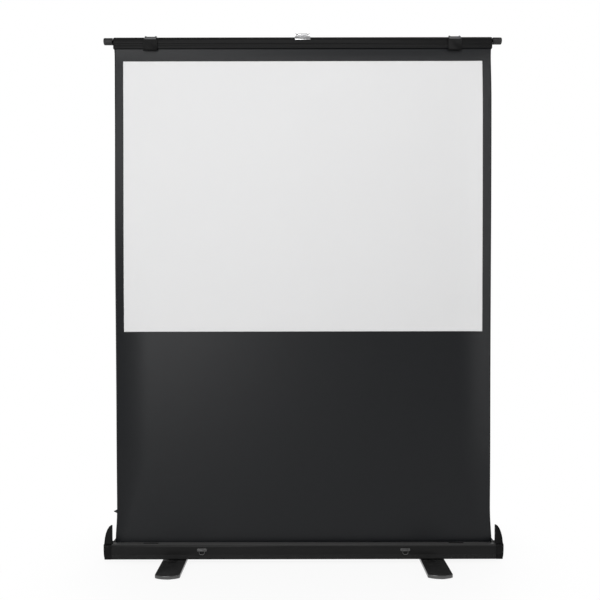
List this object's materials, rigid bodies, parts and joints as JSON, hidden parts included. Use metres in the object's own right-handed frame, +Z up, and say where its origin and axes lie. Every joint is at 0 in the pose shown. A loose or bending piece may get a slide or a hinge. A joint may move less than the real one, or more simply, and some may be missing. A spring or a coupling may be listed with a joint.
{
  "type": "pull up projection screen",
  "caption": "Floor-standing projection screen that pulls up out of its case on a scissor lift, with swivel feet.",
  "frame": {"origin": "on the floor, under the middle of the case", "axes": "+X along the case to the viewer's right, the picture faces -Y, +Z up"},
  "size_m": [1.782, 0.512, 2.3579],
  "materials": {
    "case_black": "gloss",
    "satin_black": "satin",
    "foot_black": "gloss",
    "arm_black": "satin",
    "moulded_black": "satin",
    "rubber_black": "matte",
    "nylon_black": "satin",
    "plain_steel": "satin",
    "plain_aluminium": "satin",
    "chrome": "polished",
    "dark_steel": "satin",
    "tab_grey": "satin",
    "fabric_black": "matte",
    "matte_white": "matte"
  },
  "bodies": {
    "case": {"case_shell": "case_black", "end_cap_left": "moulded_black", "end_cap_right": "moulded_black", "swivel_disc_left": "nylon_black", "swivel_disc_right": "nylon_black", "foot_bolt_left": "plain_steel", "foot_bolt_right": "plain_steel", "spring_arbor": "plain_steel", "torsion_spring": "plain_steel", "screen_fabric": "fabric_black", "viewing_surface": "matte_white", "base_bracket": "plain_steel", "base_pivot_pin": "plain_steel", "lower_rail": "plain_steel", "strap_plate_left": "dark_steel", "strap_plate_right": "dark_steel"},
    "left_foot": {"foot_left": "foot_black", "foot_pad_front_left": "rubber_black", "foot_pad_rear_left": "rubber_black"},
    "right_foot": {"foot_right": "foot_black", "foot_pad_front_right": "rubber_black", "foot_pad_rear_right": "rubber_black"},
    "roller": {"roller_tube": "plain_aluminium", "fabric_roll": "fabric_black", "idle_plug": "nylon_black", "spring_plug": "nylon_black"},
    "lower_front_arm": {"lower_arm_front": "arm_black", "lower_cross_pin": "plain_steel", "lower_cross_disc": "nylon_black", "right_elbow_pin": "plain_steel", "right_elbow_disc": "nylon_black"},
    "lower_rear_arm": {"lower_arm_rear": "arm_black", "left_elbow_pin": "plain_steel", "left_elbow_disc": "nylon_black"},
    "upper_rear_arm": {"upper_arm_rear": "arm_black", "upper_cross_pin": "plain_steel", "upper_cross_disc": "nylon_black"},
    "upper_front_arm": {"upper_arm_front": "arm_black"},
    "base_shoe": {"lower_shoe": "nylon_black", "lower_shoe_pin": "plain_steel"},
    "bar_shoe": {"upper_shoe": "nylon_black", "upper_shoe_pin": "plain_steel"},
    "bar": {"top_bar": "satin_black", "bar_cap_left": "moulded_black", "bar_cap_right": "moulded_black", "bar_peg_left": "rubber_black", "bar_peg_right": "rubber_black", "fabric_clamp": "plain_aluminium", "hem_rod": "plain_steel", "top_bracket": "plain_steel", "top_pivot_pin": "plain_steel", "upper_rail": "plain_steel", "handle_base": "chrome", "latch_body_left": "moulded_black", "latch_body_right": "moulded_black"},
    "bail": {"handle_bail": "chrome"},
    "left_tab": {"latch_tab_left": "tab_grey"},
    "right_tab": {"latch_tab_right": "tab_grey"},
    "left_ring": {"strap_ring_left": "dark_steel"},
    "right_ring": {"strap_ring_right": "dark_steel"}
  },
  "joints": [
    {"name": "lift", "type": "hinge", "parent": "case", "child": "lower_front_arm", "pos_m": [-0.65, 0.025, 0.0457], "axis": [0, -1, 0], "range_deg": [-58.58, 0], "deforming": ["screen_fabric", "viewing_surface"]},
    {"name": "lower_cross", "type": "hinge", "parent": "lower_front_arm", "child": "lower_rear_arm", "pos_m": [-0.3226, 0.025, 0.60723], "axis": [0, -1, 0], "range_deg": [0, 117.17]},
    {"name": "right_elbow", "type": "hinge", "parent": "lower_front_arm", "child": "upper_rear_arm", "pos_m": [0.0048, 0.025, 1.16875], "axis": [0, -1, 0], "range_deg": [0, 117.17]},
    {"name": "upper_cross", "type": "hinge", "parent": "upper_rear_arm", "child": "upper_front_arm", "pos_m": [-0.3226, 0.025, 1.73028], "axis": [0, -1, 0], "range_deg": [-117.17, 0]},
    {"name": "top_pivot", "type": "hinge", "parent": "upper_rear_arm", "child": "bar", "pos_m": [-0.65, 0.025, 2.2918], "axis": [0, -1, 0], "range_deg": [-58.59, 0]},
    {"name": "base_shoe_pivot", "type": "hinge", "parent": "lower_rear_arm", "child": "base_shoe", "pos_m": [0.0048, 0.025, 0.0457], "axis": [0, -1, 0], "range_deg": [-58.59, 0]},
    {"name": "bar_shoe_pivot", "type": "hinge", "parent": "upper_front_arm", "child": "bar_shoe", "pos_m": [0.0048, 0.025, 2.2918], "axis": [0, -1, 0], "range_deg": [0, 58.59]},
    {"name": "roller_spin", "type": "hinge", "parent": "case", "child": "roller", "pos_m": [0, -0.0275, 0.048], "axis": [1, 0, 0], "range_deg": [-5859, 0]},
    {"name": "left_foot_swivel", "type": "hinge", "parent": "case", "child": "left_foot", "pos_m": [-0.568, 0, 0.011], "axis": [0, 0, 1], "range_deg": [0, 90]},
    {"name": "right_foot_swivel", "type": "hinge", "parent": "case", "child": "right_foot", "pos_m": [0.568, 0, 0.011], "axis": [0, 0, 1], "range_deg": [-90, 0]},
    {"name": "bail_hinge", "type": "hinge", "parent": "bar", "child": "bail", "pos_m": [0, 0.011, 2.3524], "axis": [-1, 0, 0], "range_deg": [0, 120]},
    {"name": "left_tab_hinge", "type": "hinge", "parent": "bar", "child": "left_tab", "pos_m": [-0.676, -0.0267, 2.3225], "axis": [1, 0, 0], "range_deg": [0, 60]},
    {"name": "right_tab_hinge", "type": "hinge", "parent": "bar", "child": "right_tab", "pos_m": [0.676, -0.0267, 2.3225], "axis": [1, 0, 0], "range_deg": [0, 60]},
    {"name": "left_ring_hinge", "type": "hinge", "parent": "case", "child": "left_ring", "pos_m": [-0.447, -0.0603, 0.0635], "axis": [-1, 0, 0], "range_deg": [0, 170]},
    {"name": "right_ring_hinge", "type": "hinge", "parent": "case", "child": "right_ring", "pos_m": [0.447, -0.0603, 0.0635], "axis": [-1, 0, 0], "range_deg": [0, 170]}
  ],
  "couplings": [
    {"joint": "lower_cross", "follows": "lift", "ratio": -2},
    {"joint": "right_elbow", "follows": "lift", "ratio": -2},
    {"joint": "upper_cross", "follows": "lift", "ratio": 2},
    {"joint": "top_pivot", "follows": "lift", "ratio": 1},
    {"joint": "base_shoe_pivot", "follows": "lift", "ratio": 1},
    {"joint": "bar_shoe_pivot", "follows": "lift", "ratio": -1},
    {"joint": "roller_spin", "follows": "lift", "ratio": 100}
  ]
}
